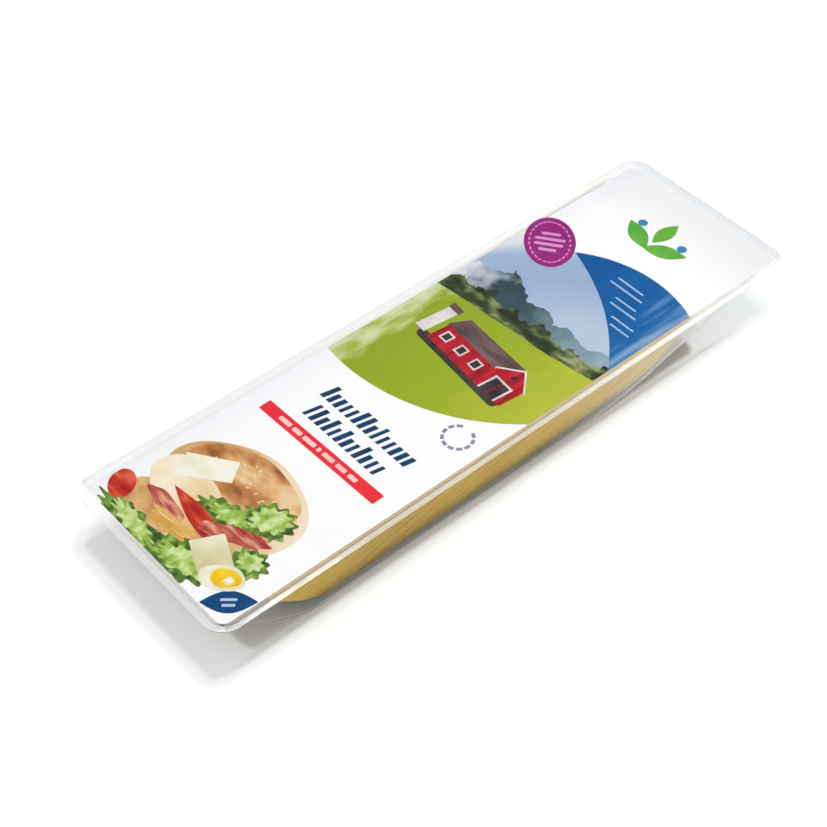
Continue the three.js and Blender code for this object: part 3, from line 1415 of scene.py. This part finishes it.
    def small_marks(self) -> None:
        """Print the blue lens, the ring of dashes, the leaf sprig and the pale bars on the dark field."""
        spot, turn = (-146.4, -36.4), -40.5
        self.field("blue_lens", self.inside([pointed_lens(spot, (11.0, 5.2), turn)]), 6, "lens_blue",
                   (0, 58, 106), (4, 72, 124), scale=80)
        lines = [bar(spot, turn, offset, long, 0.6, 0.5) for offset, long in ((1.1, 6.4), (-1.5, 5.2))]
        self.field("lens_lines", lines, 7, "lens_pale", (176, 200, 226), (200, 216, 236), scale=80)
        dashes = []
        for step in range(10):
            angle = math.radians(40 + 32 * step)
            middle = (-26.5 + 6.4 * math.cos(angle), -30.7 + 6.4 * math.sin(angle))
            dashes.append(place(rounded_box(-1.35, 1.35, -0.8, 0.8, 0.4, 2), middle,
                                math.degrees(angle) + 90))
        self.field("dash_ring", dashes, 1, "dash_grey", (128, 130, 158), (156, 158, 180), scale=90)
        leaves = [pointed_lens((120.0, 8.0), (10.5, 4.4), 62), pointed_lens((120.0, -8.0), (10.5, 4.4), -62),
                  pointed_lens((129.5, 0.0), (9.0, 3.8), 0)]
        self.field("leaf_sprig", leaves, 4, "sprig_green", (70, 160, 60), (120, 190, 70), scale=120)
        dots = [ellipse((127.5, y), (2.3, 2.3)) for y in (12.0, -12.0)]
        self.field("sprig_dots", dots, 5, "sprig_blue", (40, 120, 180), (70, 150, 200), scale=90)
        bars = [bar((x, y), -90, 0.0, long, 0.45, 0.4)
                for x, y, long in ((92.0, -14.0, 15), (88.0, -15.0, 19), (82.0, -20.5, 12), (78.0, -22.5, 15),
                                   (72.0, -28.0, 13), (68.0, -30.0, 11))]
        self.field("field_bars", bars, 6, "bar_pale", (150, 184, 216), (190, 212, 234), scale=90)


@dataclass
class Studio:
    """White floor, soft light from above and the camera."""

    target: Triple = (-0.03177, -0.00967, 0.028)
    heading: float = 47.07
    drop: float = 47.05
    roll: float = 1.94
    distance: float = 0.69588
    lens: float = 74.41
    world: float = 0.85
    flag: tuple[Point, ...] = ((0.8, 1.0), (0.9, 0.15))
    key_power: float = 24.0
    key_size: float = 0.2
    key_place: Triple = (0.26, 0.06, 1.6)
    strip_power: float = 1.7
    strip_size: Point = (1.1, 0.2)
    strip_place: Triple = (0.78, 0.33, 1.31)
    strip_aim: Triple = (0.78, -0.047, 0.0)

    def build(self) -> None:
        """Set up the floor, the light and the camera."""
        self.add_floor()
        self.add_world()
        self.add_lamp("key_light", self.key_place, (0.0, 0.0, 0.0), self.key_power, "DISK",
                      (self.key_size, self.key_size))
        self.add_lamp("strip_light", self.strip_place, self.strip_aim, self.strip_power, "RECTANGLE",
                      self.strip_size)
        self.add_camera()
        bpy.context.scene.view_settings.view_transform = "Standard"

    def add_floor(self) -> None:
        """Lay the studio floor."""
        clear_selection()
        bpy.ops.mesh.primitive_grid_add(x_subdivisions=8, y_subdivisions=8, size=8.0, location=(0, 0, 0))
        floor = bpy.context.object
        floor.name = "studio_floor"
        floor.data.materials.append(FloorPaint("studio_paper").make())

    def forward(self) -> Vector:
        """Direction in which the camera looks."""
        heading, drop = math.radians(self.heading), math.radians(self.drop)
        level = math.cos(drop)
        return Vector((level * math.cos(heading), level * math.sin(heading), -math.sin(drop)))

    def add_world(self) -> None:
        """Surround the pack with white light, dimmed where the flat film mirrors it to the camera."""
        world = bpy.data.worlds.new("studio_world")
        bpy.context.scene.world = world
        world.use_nodes = True
        nodes = Nodes(world.node_tree)
        mirrored = self.forward().reflect(Vector((0, 0, 1)))
        nearness = nodes.combine("DOT_PRODUCT", nodes.add("TexCoord").outputs["Generated"], mirrored)
        level = nodes.ramp(nearness, [(near, (level,) * 3) for near, level in self.flag])
        background = world.node_tree.nodes["Background"]
        nodes.feed(background.inputs["Color"], level)
        nodes.feed(background.inputs["Strength"], self.world)

    def add_lamp(self, name: str, spot: Triple, aim: Triple, power: float, shape: str, size: Point) -> None:
        """Hang an area lamp.

        Args:
            name: The lamp's name.
            spot: Its place.
            aim: Where it points.
            power: Its power in watts.
            shape: DISK or RECTANGLE.
            size: Its width and height.
        """
        clear_selection()
        bpy.ops.object.light_add(type="AREA", location=spot)
        lamp = bpy.context.object
        lamp.name = name
        lamp.data.energy = power
        lamp.data.shape = shape
        lamp.data.size = size[0]
        lamp.data.size_y = size[1]
        lamp.rotation_euler = (Vector(aim) - Vector(spot)).to_track_quat("-Z", "Y").to_euler()

    def add_camera(self) -> None:
        """Place the camera at the photograph's viewing angle."""
        roll = math.radians(self.roll)
        forward = self.forward()
        level = forward.cross(Vector((0, 0, 1))).normalized()
        raised = level.cross(forward)
        right = level * math.cos(roll) + raised * math.sin(roll)
        up = right.cross(forward)
        clear_selection()
        bpy.ops.object.camera_add(location=Vector(self.target) - forward * self.distance)
        camera = bpy.context.object
        camera.name = "photo_camera"
        camera.data.lens = self.lens
        camera.data.clip_start = 0.01
        turned = camera.matrix_world.copy()
        for column, axis in enumerate((right, up, -forward)):
            for row in range(3):
                turned[row][column] = axis[row]
        camera.matrix_world = turned
        bpy.context.scene.camera = camera


def main() -> None:
    """Build the pack on the frame, from the tray up, and set the studio round it."""
    logging.basicConfig(level=logging.INFO, format="%(message)s")
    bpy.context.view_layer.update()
    lid_low, lid_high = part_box("lid_film")
    tray_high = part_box("tray")[1]
    length = (lid_high.x - lid_low.x) / MM
    width = (lid_high.y - lid_low.y) / MM
    cup = CupShape(length, width, tray_high.z / MM)
    surface = FilmSurface(length, width, tray_high.z / MM)
    Tray(cup, surface).build()
    CheeseStack(cup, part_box("cheese_slice_01")[1].x / MM).build()
    lid = Lid(surface)
    LidPrint(lid).build()
    lid.build_film()
    Studio().build()


if __name__ == "__main__":
    main()
